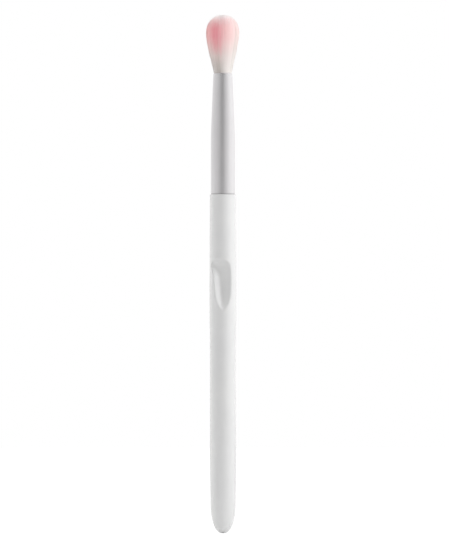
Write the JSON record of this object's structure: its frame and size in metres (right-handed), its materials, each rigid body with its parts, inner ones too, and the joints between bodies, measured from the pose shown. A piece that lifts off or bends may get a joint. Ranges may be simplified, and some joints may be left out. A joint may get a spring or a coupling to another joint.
{
  "type": "eyeshadow brush",
  "caption": "Slim eyeshadow brush: glossy white round handle with a finger scoop, narrowing satin aluminium ferrule and an egg-shaped, pink-tinted soft tuft.",
  "frame": {"origin": "middle of the handle's straight barrel, on its axis", "axes": "+Z along the brush towards the tuft, -Y the side with the finger scoop, +X to the right when the scoop faces the viewer"},
  "size_m": [0.0106, 0.0106, 0.168],
  "materials": {
    "handle_gloss": "smooth high gloss, white",
    "glue": "set glue, hidden",
    "ferrule_metal": "fine satin, drawn lengthwise",
    "resin": "set resin with hair roots, hidden",
    "hair": "fine soft hair, ivory at the root, pink above and whitish at the tips"
  },
  "bodies": {
    "root": {"handle": "handle_gloss", "tenon_glue": "glue", "ferrule": "ferrule_metal", "root_resin": "resin", "hair_tuft": "hair"}
  },
  "joints": []
}
